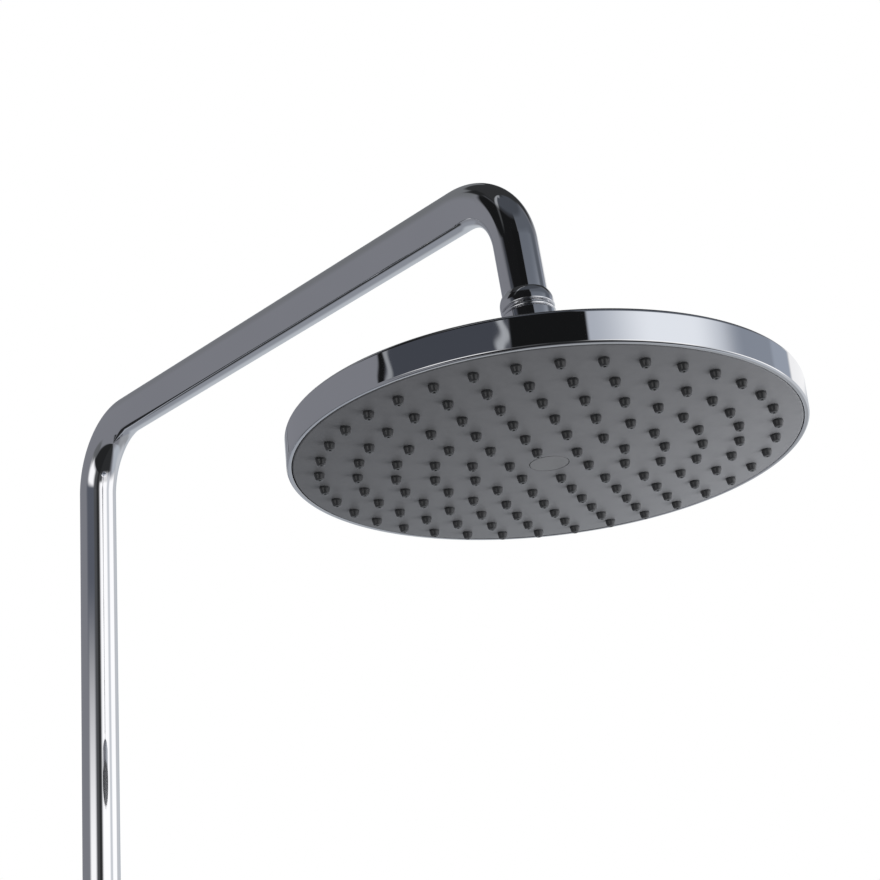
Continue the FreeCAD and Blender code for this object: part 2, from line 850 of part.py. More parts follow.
def build_distributor_screws():
    """Ring of screws that hold the distributor to the shell's posts."""
    bottom = "(size.distributor_height - size.screw_head_height)"
    count = whole("size.screw_count")
    screws = []
    for index in range(count):
        angle = f"({index} * 360 / size.screw_count * 1 deg)"
        across = f"size.screw_ring_radius * cos({angle})"
        up = f"size.screw_ring_radius * sin({angle})"
        head = rod(f"screw_head_{index + 1}", "size.screw_head_diameter / 2", "size.screw_head_height")
        set_place(head, across, up, bottom)
        shank = rod(f"screw_shank_{index + 1}", "size.screw_diameter / 2", "size.screw_length")
        set_place(shank, across, up, "size.distributor_height")
        screw = doc.addObject("Part::Fuse", f"screw_{index + 1}")
        screw.Base = head
        screw.Tool = shank
        screws.append(screw)
    group("distributor_screws", screws, at_head)


def rod(name, radius, length):
    cylinder = doc.addObject("Part::Cylinder", name)
    cylinder.setExpression("Radius", radius)
    cylinder.setExpression("Height", length)
    return cylinder


def group(label, pieces, place):
    """Separate solids that share one node."""
    compound = doc.addObject("Part::Compound", label)
    compound.Label = label
    compound.Links = pieces
    place(compound)


# Wall bracket

post_radius = "(size.post_diameter / 2)"
ring_radius = "(size.holder_ring_diameter / 2)"
liner_bore = f"({tube_radius} + size.liner_gap)"
liner_radius = f"({liner_bore} + size.liner_wall)"
ring_bore = f"({liner_radius} + size.liner_gap)"
stud_radius = "(size.stud_diameter / 2)"
stud_end = "(size.base_thickness + size.stud_length)"
post_end = "(size.wall_distance - size.post_wall_clearance)"
stud_grub_along = "(size.wall_distance - size.base_thickness - size.stud_length * 3 / 4)"


def build_bracket_base():
    """Wall plate with a stud for the post and two screw holes."""
    body = new_body("bracket_base")
    plate = "size.base_diameter / 2"
    spin(body, [
        ("0", "0"),
        (plate, "0"),
        (plate, "size.base_thickness"),
        (stud_radius, "size.base_thickness"),
        (stud_radius, stud_end),
        ("0", stud_end),
    ])
    holes = sketch_on(body, "XY_Plane", "wall_holes")
    circle(holes, "size.wall_screw_spacing / 2", "0", "size.wall_screw_hole / 2")
    circle(holes, "-size.wall_screw_spacing / 2", "0", "size.wall_screw_hole / 2")
    pocket(body, holes)
    at_wall(body)


def build_bracket_rosette():
    """Round cover that slides on the post and hides the wall plate."""
    outside = "(size.rosette_diameter / 2)"
    inside = f"({outside} - size.rosette_wall)"
    hole = f"({post_radius} + size.post_gap)"
    ceiling = "(size.rosette_depth - size.rosette_wall)"
    turned("bracket_rosette", [
        (inside, "0"),
        (outside, "0"),
        (outside, "size.rosette_depth - size.rosette_bevel"),
        (f"{outside} - size.rosette_bevel", "size.rosette_depth"),
        (hole, "size.rosette_depth"),
        (hole, ceiling),
        (inside, ceiling),
    ], at_wall)


def build_bracket_holder():
    """Ring round the riser on a hollow post that slips over the stud."""
    body = new_body("bracket_holder")
    half = "(size.holder_height / 2)"
    spin(body, [
        ("0", f"-{half}"),
        (ring_radius, f"-{half}"),
        (ring_radius, half),
        ("0", half),
    ])
    pad(body, circle(sketch_on(body, "XZ_Plane", "post"), "0", "0", post_radius), post_end, reverse=True)
    pocket(body, circle(sketch_on(body, "XY_Plane", "bore"), "0", "0", ring_bore))
    stud_bore = sketch_on(body, "XZ_Plane", "stud_bore", f"-{post_end}")
    circle(stud_bore, "0", "0", f"{stud_radius} + size.post_gap")
    pocket(body, stud_bore, f"{post_end} - size.wall_distance + {stud_end} + size.post_gap", reverse=True)
    tap = "(size.grub_diameter / 2 + size.grub_gap)"
    ring_tap = circle(sketch_on(body, "YZ_Plane", "ring_tap"), "0", "0", tap)
    pocket(body, ring_tap, f"2 * {ring_radius}", reverse=True)
    post_tap = circle(sketch_on(body, "XY_Plane", "post_tap"), "0", stud_grub_along, tap)
    pocket(body, post_tap, f"2 * {post_radius}")
    at_riser(body)


def build_clamp_liner():
    """Split plastic sleeve between the ring and the riser."""
    half = "(size.holder_height / 2)"
    turned("clamp_liner", [
        (liner_bore, f"-{half}"),
        (liner_radius, f"-{half}"),
        (liner_radius, half),
        (liner_bore, half),
    ], at_riser, "360 - size.liner_slot_angle")


def build_grub_screws():
    """Set screws: one through the ring onto the liner, one through the post onto the stud."""
    ring_grub = rod("ring_grub", "size.grub_diameter / 2", f"{ring_radius} - {liner_radius} - size.grub_sink")
    set_place(ring_grub, across=liner_radius, turn="90", axis=(0, 1, 0))
    post_grub = rod("post_grub", "size.grub_diameter / 2", f"{post_radius} - {stud_radius} - size.grub_sink")
    set_place(post_grub, along=stud_grub_along, up=f"-{post_radius} + size.grub_sink")
    group("grub_screws", [ring_grub, post_grub], at_riser)


build_riser_pipe()
build_tail("foot_tail", "(size.inlet_thread_length + size.foot_washer_thickness)", tube_foot, at_foot)
build_union_nut()
build_foot_washer()
build_tail("arm_end_tail", arm_flange_bottom, tube_end, at_ball)
build_arm_nut()
build_arm_washer()
build_swivel_body()
build_inlet_discs()
build_ball_nut()
build_ball_seats()
build_swivel_ball()
build_stem_fixings()
build_top_shell()
build_faceplate()
build_nozzle_mat()
build_distributor()
build_centre_fixing()
build_distributor_screws()
build_bracket_base()
build_bracket_rosette()
build_bracket_holder()
build_clamp_liner()
build_grub_screws()
doc.recompute()

for piece in doc.Objects:
    if "Invalid" in piece.State or "Error" in piece.State:
        raise RuntimeError(f"{piece.Label} failed: {piece.State}")
    if piece.TypeId in ("PartDesign::Pocket", "PartDesign::Groove"):
        if piece.Shape.Volume >= piece.BaseFeature.Shape.Volume:
            raise RuntimeError(f"{piece.Label} cuts nothing")

tools = [tool for thing in doc.Objects if thing.TypeId == "PartDesign::Boolean" for tool in thing.Group]
solids = [thing for thing in doc.Objects if thing.TypeId in ("PartDesign::Body", "Part::Compound")]
pieces = [thing for thing in solids if thing not in tools]
for piece in pieces:
    if piece.Shape.isNull() or not piece.Shape.isValid():
        raise RuntimeError(f"{piece.Label} has no sound shape")

os.makedirs("parts", exist_ok=True)
for piece in pieces:
    piece.Shape.exportStep(f"parts/{piece.Label}.step")
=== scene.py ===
import json
import math

import bpy
from mathutils import Matrix, Vector


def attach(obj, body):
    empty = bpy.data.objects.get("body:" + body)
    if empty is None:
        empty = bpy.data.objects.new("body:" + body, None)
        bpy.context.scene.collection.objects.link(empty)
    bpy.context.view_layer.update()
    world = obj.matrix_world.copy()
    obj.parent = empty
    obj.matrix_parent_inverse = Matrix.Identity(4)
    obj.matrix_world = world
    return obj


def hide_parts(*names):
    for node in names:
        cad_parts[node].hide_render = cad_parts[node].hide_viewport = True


# A chromed shower system: bent riser tube, swivel joint and round overhead shower with a grey spray plate.
# Metres throughout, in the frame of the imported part: +Z up, wall at +Y, arm towards -Y.

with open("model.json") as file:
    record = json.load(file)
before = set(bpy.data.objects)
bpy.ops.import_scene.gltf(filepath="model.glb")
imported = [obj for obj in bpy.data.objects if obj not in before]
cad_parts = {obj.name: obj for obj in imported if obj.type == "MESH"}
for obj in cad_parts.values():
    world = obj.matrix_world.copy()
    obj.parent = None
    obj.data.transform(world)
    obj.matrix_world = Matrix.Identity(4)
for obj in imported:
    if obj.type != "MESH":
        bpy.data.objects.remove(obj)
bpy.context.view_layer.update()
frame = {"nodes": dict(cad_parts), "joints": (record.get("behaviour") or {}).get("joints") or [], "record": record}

MM = 0.001
SKIN = 0.04 * MM  # the tube and the head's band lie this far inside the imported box

# Roundings of edges that hardly show
CRISP = 0.05 * MM
FINE = 0.1 * MM
EASED = 0.2 * MM

# Sides of the turned and swept surfaces, steps along their curves and angles
SIDES = 128
BORE_SIDES = 48
SHELL_SIDES = 320
PLATE_SIDES = 256
SMALL_SIDES = 96
NOZZLE_SIDES = 28
UNION_SIDES = 144
BEND_STEPS = 40
SHOULDER_STEPS = 12
DOME_STEPS = 10
BOWL_STEPS = 24
BOWL_INSIDE_STEPS = 12
ROUNDING_STEP = math.radians(9)
NOZZLE_STEP = math.radians(24)
SHARP_ANGLE = math.radians(12)
STRAIGHT = 1e-6  # a turn below this angle is no corner

# Bent tube
TUBE_RADIUS = 11.0 * MM
TUBE_WALL = 1.2 * MM
TUBE_FOOT = 14.0 * MM
TUBE_CLEARANCE = 0.15 * MM
ARM_HEIGHT = 900.0 * MM
ARM_REACH = 400.0 * MM
RISER_BEND = 40.0 * MM
DROP_BEND = 40.0 * MM
DROP_LENGTH = 65.9 * MM
DROP_LEAN = math.radians(7.8)

# Joint at the end of the drop: heights above the ball's centre
COLLAR_RADIUS = 13.0 * MM
TUBE_END = 29.7 * MM
ARM_NUT_TOP = TUBE_END + 2.5 * MM
ARM_NUT_BOTTOM = 24.2 * MM
ARM_NUT_BORE = TUBE_RADIUS + 0.9 * MM
ARM_NUT_ROUNDING = 0.7 * MM
SHOULDER_BEND = 9.0 * MM
SHOULDER_TOP = 11.35 * MM
RING_TOP = 23.2 * MM
RING_BOTTOM = 21.2 * MM
RING_ROUNDING = 0.95 * MM
SWIVEL_BORE = 8.4 * MM
SWIVEL_TOP = TUBE_END - 3.3 * MM
SWIVEL_TOP_RADIUS = 11.85 * MM
SWIVEL_BOTTOM = 7.0 * MM
SWIVEL_BOTTOM_RADIUS = 11.4 * MM
BALL_NUT_TOP = 20.9 * MM
BALL_NUT_TOP_ROUNDING = 0.5 * MM
BALL_NUT_BOTTOM = -8.1 * MM
BALL_NUT_BOTTOM_ROUNDING = 0.8 * MM
BALL_NUT_THREAD = 11.5 * MM
BALL_NUT_STEP = 6.5 * MM
BALL_NUT_BORE = 10.2 * MM
BALL_NUT_SEAT = -5.6 * MM
BALL_NUT_THROAT = 8.0 * MM
BALL_NUT_MOUTH = 9.2 * MM
BALL_NUT_MOUTH_ROUNDING = 0.3 * MM

# Shell of the head: heights above the plane of its lip
HEAD_LEAN = math.radians(2.7)
LIP_DROP = 48.5 * MM
LIP_INNER_ROUNDING = 0.45 * MM
LIP_OUTER_ROUNDING = 1.15 * MM
HEAD_RADIUS = 120.0 * MM
BAND_HEIGHT = 16.0 * MM
BAND_WALL = 2.4 * MM
BAND_OUTSIDE = HEAD_RADIUS - SKIN
BAND_INSIDE = HEAD_RADIUS - BAND_WALL
BAND_INSIDE_ROUNDING = 1.0 * MM
TOP_EDGE = 2.0 * MM
TOP_EDGE_MARGIN = 4.0 * MM
TOP_DOME = 700.0 * MM
SHELL_WALL = 2.2 * MM
BOSS_RADIUS = 17.0 * MM
BOSS_HEIGHT = 30.0 * MM
BOSS_ROUNDING = 0.5 * MM
FLARE_RADIUS = 23.0 * MM
FLARE_RISE = 3.5 * MM
FLARE_ROUNDING = 8.0 * MM
FLARE_MARGIN = 6.0 * MM
STEM_HOLE = 8.2 * MM
CHAMBER_RADIUS = 15.0 * MM
CHAMBER_TOP = 20.0 * MM
CHAMBER_MARGIN = 5.0 * MM
BAND_INSIDE_MARGIN = 5.6 * MM

# Spray plate with its cap
PLATE_RADIUS = 116.9 * MM
PLATE_EDGE = 117.3 * MM
PLATE_ROUNDING = 0.8 * MM
PLATE_BACK_ROUNDING = 0.3 * MM
PLATE_MARGIN = 3.0 * MM
PLATE_SAG = 5.7 * MM
PLATE_WALL = 2.2 * MM
CAP_RADIUS = 9.0 * MM
CAP_WALL = 1.2 * MM
CAP_GAP = 0.25 * MM
CAP_ROUNDING = 0.25 * MM
CAP_PINHOLE = 0.01 * MM  # left open on the axis
POCKET_RADIUS = CAP_RADIUS + CAP_GAP
POCKET_FLOOR = -PLATE_SAG + CAP_WALL
POCKET_ROUNDING = 0.15 * MM
HUB_RADIUS = 9.0 * MM
HUB_TOP = -0.5 * MM
HUB_MARGIN = 5.0 * MM
SCREW_HOLE = 2.1 * MM
SCREW_SEAT = -2.3 * MM
SCREW_RECESS = 3.9 * MM

# Nozzles
RINGS = 6
NOZZLES_PER_STEP = 6
FIRST_RING = 18.6 * MM
RING_PITCH = 17.33 * MM
SPOKE_TURN = math.radians(2.45)
NOZZLE_BASE = 2.45 * MM
NOZZLE_BELLY = 0.9 * MM
NOZZLE_BELLY_ROUNDING = 1.6 * MM
NOZZLE_TIP = 1.75 * MM
NOZZLE_TIP_ROUNDING = 0.95 * MM
NOZZLE_HEIGHT = 3.4 * MM
NOZZLE_ROOT = 0.5 * MM
NOZZLE_EYE = 0.6 * MM
NOZZLE_EYE_DEPTH = 0.8 * MM
NOZZLE_EYE_ROUNDING = 0.15 * MM
NOZZLE_PINHOLE = 0.05 * MM  # left open on the axis

# Foot
UNION_FLATS = 15.0 * MM
UNION_HEIGHT = 18.0 * MM
UNION_BORE = 12.06 * MM
UNION_BEVEL = 0.9 * MM
UNION_FACE_INSET = 1.98 * MM
UNION_BEVEL_START = 0.6  # share of the bevel's rise
UNION_BEVEL_END = 1.6  # share of the bevel's rise
HALF_FLAT = math.pi / 6

# Wall bracket
WALL_DISTANCE = 60.0 * MM
BRACKET_HEIGHT = 540.0 * MM
ROSETTE_RADIUS = 27.0 * MM
ROSETTE_DEPTH = 13.0 * MM
ROSETTE_WALL = 1.6 * MM
ROSETTE_RIM_ROUNDING = 0.3 * MM
ROSETTE_ROUNDING = 2.5 * MM
ROSETTE_INNER_ROUNDING = 1.5 * MM
POST_RADIUS = 9.0 * MM
POST_BORE = 6.1 * MM
POST_END = 54.0 * MM
POST_CLEARANCE = 0.1 * MM
POST_ROUNDING = 0.5 * MM
POST_BORE_ROUNDING = 0.3 * MM
POST_SINK = 0.5 * MM
HOLDER_RADIUS = 15.5 * MM
HOLDER_BORE = 12.3 * MM
HOLDER_HALF = 12.0 * MM
HOLDER_ROUNDING = 1.0 * MM
HOLDER_BORE_ROUNDING = 0.4 * MM

# Camera of the photograph
CAMERA_AZIMUTH = math.radians(-39.02)
CAMERA_ELEVATION = math.radians(-19.626)
CAMERA_ROLL = math.radians(3.795)
CAMERA_PLACE = Vector((-0.62753, -1.11173, 0.43234))
CAMERA_NEAR = 0.05
IMAGE_SIDE = 880
FOCAL_PIXELS = 2158.74
SENSOR = 36.0


# Frames of the drop, the head, the riser and the wall

def leaning_frame(origin, lean):
    """Frame at a point with X across and Z up along an axis that leans in the YZ plane."""
    up = Vector((0, math.sin(lean), math.cos(lean)))
    across = Vector((1, 0, 0))
    along = up.cross(across)
    matrix = Matrix((across, along, up)).transposed().to_4x4()
    matrix.translation = origin
    return matrix


ball = Vector(next(joint["pos_m"] for joint in frame["joints"] if joint["name"] == "head_tilt"))
DROP_FRAME = leaning_frame(ball, DROP_LEAN)
lip_centre = ball - LIP_DROP * Vector((0, math.sin(HEAD_LEAN), math.cos(HEAD_LEAN)))
HEAD_FRAME = leaning_frame(lip_centre, HEAD_LEAN)
RISER_FRAME = Matrix.Translation((0, 0, BRACKET_HEIGHT))
WALL_FRAME = Matrix.Translation((0, WALL_DISTANCE, BRACKET_HEIGHT)) @ Matrix.Rotation(math.pi / 2, 4, "X")


# Outlines and meshes

def outline(corners, closed=True, step=ROUNDING_STEP):
    """Points (radius, height) and outward normals along corners (radius, height, rounding).

    The solid lies to the left. A corner without rounding is a point of a smooth curve."""
    spots = [Vector(corner[:2]) for corner in corners]
    points = []
    count = len(corners)
    for index, spot in enumerate(spots):
        rounding = corners[index][2]
        first = index == 0 and not closed
        last = index == count - 1 and not closed
        before = None if first else (spot - spots[index - 1]).normalized()
        after = None if last else (spots[(index + 1) % count] - spot).normalized()
        start = before or after
        finish = after or before
        turn = math.atan2(start.x * finish.y - start.y * finish.x, start.dot(finish))
        if not rounding or abs(turn) < STRAIGHT:
            middle = (start + finish).normalized()
            points.append((spot, Vector((middle.y, -middle.x))))
            continue
        side = math.copysign(1, turn)
        reach = rounding * math.tan(abs(turn) / 2)
        centre = spot - start * reach + side * rounding * Vector((-start.y, start.x))
        steps = max(2, math.ceil(abs(turn) / step))
        for number in range(steps + 1):
            angle = turn * number / steps
            heading = Vector((
                start.x * math.cos(angle) - start.y * math.sin(angle),
                start.x * math.sin(angle) + start.y * math.cos(angle),
            ))
            normal = Vector((heading.y, -heading.x))
            points.append((centre + normal * rounding * side, normal))
    return points


def curve(height_at, start, finish, steps):
    """Unrounded corners along a curve given by its height at each radius."""
    radii = [start + (finish - start) * number / steps for number in range(steps + 1)]
    return [(radius, height_at(radius), 0) for radius in radii]


class Shape:
    """Vertices, normals and faces gathered for one mesh."""

    def __init__(self):
        self.points = []
        self.normals = []
        self.faces = []

    def add_row(self, lower, upper, sides, inside=False):
        """Faces between two rings of points, given by the number of each ring's first point."""
        for side in range(sides):
            other = (side + 1) % sides
            face = (lower + side, lower + other, upper + other, upper + side)
            self.faces.append(face[::-1] if inside else face)

    def turn(self, points, matrix, sides, closed=True):
        """Turn an outline about the Z axis of a frame."""
        base = len(self.points)
        spin = matrix.to_3x3()
        for spot, normal in points:
            for side in range(sides):
                angle = 2 * math.pi * side / sides
                c, s = math.cos(angle), math.sin(angle)
                self.points.append(matrix @ Vector((spot.x * c, spot.x * s, spot.y)))
                self.normals.append(spin @ Vector((normal.x * c, normal.x * s, normal.y)))
        rows = len(points) if closed else len(points) - 1
        for row in range(rows):
            self.add_row(base + row * sides, base + (row + 1) % len(points) * sides, sides)

    def sweep(self, stations, radius, sides, inside=False):
        """Run a round section along stations (point, forward), across being X."""
        base = len(self.points)
        across = Vector((1, 0, 0))
        for spot, forward in stations:
            up = forward.cross(across)
            for side in range(sides):
                angle = 2 * math.pi * side / sides
                normal = across * math.cos(angle) + up * math.sin(angle)
                self.points.append(spot + normal * radius)
                self.normals.append(-normal if inside else normal)
        for row in range(len(stations) - 1):
            self.add_row(base + row * sides, base + (row + 1) * sides, sides, inside)

    def mesh(self, name):
        """Smooth mesh with the gathered normals, or one with sharp edges where there are none."""
        mesh = bpy.data.meshes.new(name)
        mesh.from_pydata(self.points, [], self.faces)
        if not self.normals:
            mesh.set_sharp_from_angle(angle=SHARP_ANGLE)
            return mesh
        for face in mesh.polygons:
            face.use_smooth = True
        mesh.normals_split_custom_set_from_vertices([normal.normalized() for normal in self.normals])
        mesh.update()
        return mesh


def turned(corners, matrix, sides):
    """Closed outline turned about the Z axis of a frame."""
    shape = Shape()
    shape.turn(outline(corners), matrix, sides)
    return shape


# Materials

def new_material(name):
    """A material with one principled shader, and the coordinates of the piece that wears it."""
    material = bpy.data.materials.new(name)
    material.use_nodes = True
    nodes = material.node_tree.nodes
    shader = next(node for node in nodes if node.type == "BSDF_PRINCIPLED")
    coordinates = nodes.new("ShaderNodeTexCoord")
    return material, nodes, material.node_tree.links, shader, coordinates.outputs["Object"]


NOISE_DETAIL = 3.0
NOISE_LOW = 0.3
NOISE_HIGH = 0.7
GRAIN_SCALE = 800.0
GRAIN_DETAIL = 2.0
GRAIN_DEPTH = 0.05 * MM


def noise_ramp(nodes, links, place, scale, low, high):
    """Noise at a scale per metre, mapped between two colours."""
    noise = nodes.new("ShaderNodeTexNoise")
    noise.inputs["Scale"].default_value = scale
    noise.inputs["Detail"].default_value = NOISE_DETAIL
    links.new(place, noise.inputs["Vector"])
    ramp = nodes.new("ShaderNodeValToRGB")
    ends = ramp.color_ramp.elements
    ends[0].position = NOISE_LOW
    ends[1].position = NOISE_HIGH
    ends[0].color = (*low, 1)
    ends[1].color = (*high, 1)
    links.new(noise.outputs["Fac"], ramp.inputs["Fac"])
    return noise, ramp


def add_grain(nodes, links, place, shader, strength):
    """Fine bump on a shader."""
    grain = nodes.new("ShaderNodeTexNoise")
    grain.inputs["Scale"].default_value = GRAIN_SCALE
    grain.inputs["Detail"].default_value = GRAIN_DETAIL
    links.new(place, grain.inputs["Vector"])
    relief = nodes.new("ShaderNodeBump")
    relief.inputs["Strength"].default_value = strength
    relief.inputs["Distance"].default_value = GRAIN_DEPTH
    links.new(grain.outputs["Fac"], relief.inputs["Height"])
    links.new(relief.outputs["Normal"], shader.inputs["Normal"])


def surface(name, low, high, scale, roughness, metallic=0.0, bump=0.0):
    """Procedural surface: colour and roughness vary with noise, and a fine bump where asked."""
    material, nodes, links, shader, place = new_material(name)
    shader.inputs["Metallic"].default_value = metallic
    noise, ramp = noise_ramp(nodes, links, place, scale, low, high)
    links.new(ramp.outputs["Color"], shader.inputs["Base Color"])
    spread = nodes.new("ShaderNodeMapRange")
    spread.inputs["To Min"].default_value = roughness[0]
    spread.inputs["To Max"].default_value = roughness[1]
    links.new(noise.outputs["Fac"], spread.inputs["Value"])
    links.new(spread.outputs["Result"], shader.inputs["Roughness"])
    if bump:
        add_grain(nodes, links, place, shader, bump)
    return material


def grey(level):
    """Neutral colour of a brightness."""
    return (level, level, level)


# Darkest and lightest colour, noise scale per metre and range of roughness of each material
CHROMIUM = dict(low=(0.80, 0.80, 0.815), high=(0.84, 0.84, 0.85), metallic=1.0)
LOOKS = {
    "chrome": dict(CHROMIUM, scale=9.0, roughness=(0.015, 0.035)),
    "chromed_shell": dict(CHROMIUM, scale=7.0, roughness=(0.015, 0.03)),
    "ball_chrome": dict(CHROMIUM, scale=30.0, roughness=(0.03, 0.06)),
    "brass": dict(
        low=(0.62, 0.44, 0.17), high=(0.72, 0.54, 0.24), scale=60.0, roughness=(0.25, 0.35), metallic=1.0),
    "spray_plate": dict(
        low=(0.103, 0.105, 0.112), high=(0.116, 0.118, 0.125), scale=260.0, roughness=(0.42, 0.5), bump=0.15),
    "cap_plastic": dict(
        low=(0.106, 0.108, 0.113), high=(0.118, 0.120, 0.125), scale=300.0, roughness=(0.38, 0.45)),
    "nozzle_rubber": dict(
        low=(0.042, 0.043, 0.046), high=(0.054, 0.055, 0.058), scale=400.0, roughness=(0.18, 0.26)),
    "seal_rubber": dict(low=grey(0.02), high=grey(0.04), scale=200.0, roughness=(0.6, 0.7)),
    "inner_plastic": dict(
        low=(0.66, 0.66, 0.63), high=(0.72, 0.72, 0.70), scale=120.0, roughness=(0.4, 0.5)),
    "steel": dict(low=grey(0.52), high=grey(0.62), scale=90.0, roughness=(0.25, 0.4), metallic=1.0),
}
materials = {name: surface(name, **look) for name, look in LOOKS.items()}
slot_of = {entry["node"]: entry["material_slot"] for entry in frame["record"]["subparts"]}
for node, thing in frame["nodes"].items():
    thing.data.materials.clear()
    thing.data.materials.append(materials[slot_of[node]])


# Bent tube

def tube_stations():
    """Points and headings along the tube's axis: straight runs and two arcs in the YZ plane."""
    drop_start = -ARM_REACH + DROP_BEND * math.tan((math.pi / 2 - DROP_LEAN) / 2)
    bends = [
        (Vector((0, -RISER_BEND, ARM_HEIGHT - RISER_BEND)), RISER_BEND, 0.0, math.pi / 2),
        (Vector((0, drop_start, ARM_HEIGHT - DROP_BEND)), DROP_BEND, math.pi / 2, math.pi - DROP_LEAN),
    ]
    stations = [(Vector((0, 0, TUBE_FOOT)), Vector((0, 0, 1)))]
    for centre, radius, start, finish in bends:
        for number in range(BEND_STEPS + 1):
            angle = start + (finish - start) * number / BEND_STEPS
            spoke = Vector((0, math.cos(angle), math.sin(angle)))
            stations.append((centre + spoke * radius, Vector((0, -math.sin(angle), math.cos(angle)))))
    down = Vector((0, -math.sin(DROP_LEAN), -math.cos(DROP_LEAN)))
    stations.append((Vector((0, -ARM_REACH, ARM_HEIGHT)) + down * DROP_LENGTH, down))
    return stations


def riser_pipe():
    """Outside and bore of the bent tube."""
    shape = Shape()
    shape.sweep(tube_stations(), TUBE_RADIUS - SKIN, SIDES)
    shape.sweep(tube_stations(), TUBE_RADIUS - TUBE_WALL, BORE_SIDES, inside=True)
    return shape


# Joint

def shoulder():
    """Corners along the arm nut's shoulder: an arc from its side to its top rim."""
    sweep = math.acos(1 - (COLLAR_RADIUS - SHOULDER_TOP) / SHOULDER_BEND)
    start = ARM_NUT_TOP - SHOULDER_BEND * math.sin(sweep)
    angles = [sweep * number / SHOULDER_STEPS for number in range(SHOULDER_STEPS + 1)]
    points = [
        (COLLAR_RADIUS - SHOULDER_BEND * (1 - math.cos(angle)), start + SHOULDER_BEND * math.sin(angle), 0)
        for angle in angles
    ]
    return points[:-1] + [(*points[-1][:2], FINE)]


def arm_nut():
    """Union nut with a rounded shoulder at the end of the drop."""
    return turned([
        (ARM_NUT_BORE, ARM_NUT_BOTTOM, FINE),
        (COLLAR_RADIUS, ARM_NUT_BOTTOM, ARM_NUT_ROUNDING),
        *shoulder(),
        (TUBE_RADIUS + TUBE_CLEARANCE, ARM_NUT_TOP, CRISP),
        (TUBE_RADIUS + TUBE_CLEARANCE, TUBE_END, CRISP),
        (ARM_NUT_BORE, TUBE_END, CRISP),
    ], DROP_FRAME, SIDES)


def swivel_body():
    """Body of the joint, seen as the ring between the two nuts."""
    return turned([
        (SWIVEL_BORE, SWIVEL_BOTTOM, FINE),
        (SWIVEL_BOTTOM_RADIUS, SWIVEL_BOTTOM, FINE),
        (SWIVEL_BOTTOM_RADIUS, RING_BOTTOM, CRISP),
        (COLLAR_RADIUS, RING_BOTTOM, RING_ROUNDING),
        (COLLAR_RADIUS, RING_TOP, RING_ROUNDING),
        (SWIVEL_TOP_RADIUS, RING_TOP, CRISP),
        (SWIVEL_TOP_RADIUS, SWIVEL_TOP, FINE),
        (SWIVEL_BORE, SWIVEL_TOP, FINE),
    ], DROP_FRAME, SIDES)


def ball_nut():
    """Plain round nut that holds the ball."""
    return turned([
        (BALL_NUT_MOUTH, BALL_NUT_BOTTOM, BALL_NUT_MOUTH_ROUNDING),
        (COLLAR_RADIUS, BALL_NUT_BOTTOM, BALL_NUT_BOTTOM_ROUNDING),
        (COLLAR_RADIUS, BALL_NUT_TOP, BALL_NUT_TOP_ROUNDING),
        (BALL_NUT_THREAD, BALL_NUT_TOP, FINE),
        (BALL_NUT_THREAD, BALL_NUT_STEP, FINE),
        (BALL_NUT_BORE, BALL_NUT_STEP, FINE),
        (BALL_NUT_BORE, BALL_NUT_SEAT, FINE),
        (BALL_NUT_THROAT, BALL_NUT_SEAT, FINE),
    ], DROP_FRAME, SIDES)


# Head

DOME_CENTRE = BAND_HEIGHT - math.sqrt(TOP_DOME ** 2 - (HEAD_RADIUS - TOP_EDGE) ** 2)
PLATE_BEND = (PLATE_RADIUS ** 2 + PLATE_SAG ** 2) / (2 * PLATE_SAG)


def dome_top(radius):
    """Height of the shell's top at a radius."""
    return DOME_CENTRE + math.sqrt(TOP_DOME ** 2 - radius ** 2)


def dome_inside(radius):
    """Height of the underside of the shell's top at a radius."""
    return DOME_CENTRE + math.sqrt((TOP_DOME - SHELL_WALL) ** 2 - radius ** 2)


def bowl(radius, lift=0.0):
    """Height of the plate's underside at a radius, or of a layer lifted above it."""
    return PLATE_BEND - PLATE_SAG - math.sqrt((PLATE_BEND - lift) ** 2 - radius ** 2)


def bowl_inside(radius):
    """Height of the plate's upper side at a radius."""
    return bowl(radius, PLATE_WALL)


def top_shell():
    """Shell with lip, band, domed top and inlet boss."""
    flare_foot = dome_top(FLARE_RADIUS)
    return turned([
        (BAND_INSIDE, 0, LIP_INNER_ROUNDING),
        (BAND_OUTSIDE, 0, LIP_OUTER_ROUNDING),
        (BAND_OUTSIDE, dome_top(HEAD_RADIUS), TOP_EDGE),
        *curve(dome_top, HEAD_RADIUS - TOP_EDGE_MARGIN, FLARE_RADIUS + FLARE_MARGIN, DOME_STEPS),
        (FLARE_RADIUS, flare_foot, FLARE_ROUNDING),
        (BOSS_RADIUS, flare_foot + FLARE_RISE, BOSS_ROUNDING),
        (BOSS_RADIUS, BOSS_HEIGHT, BOSS_ROUNDING),
        (STEM_HOLE, BOSS_HEIGHT, EASED),
        (STEM_HOLE, CHAMBER_TOP, EASED),
        (CHAMBER_RADIUS, CHAMBER_TOP, EASED),
        (CHAMBER_RADIUS, dome_inside(CHAMBER_RADIUS), EASED),
        *curve(dome_inside, CHAMBER_RADIUS + CHAMBER_MARGIN, BAND_INSIDE - BAND_INSIDE_MARGIN, DOME_STEPS),
        (BAND_INSIDE, dome_inside(BAND_INSIDE), BAND_INSIDE_ROUNDING),
    ], HEAD_FRAME, SHELL_SIDES)


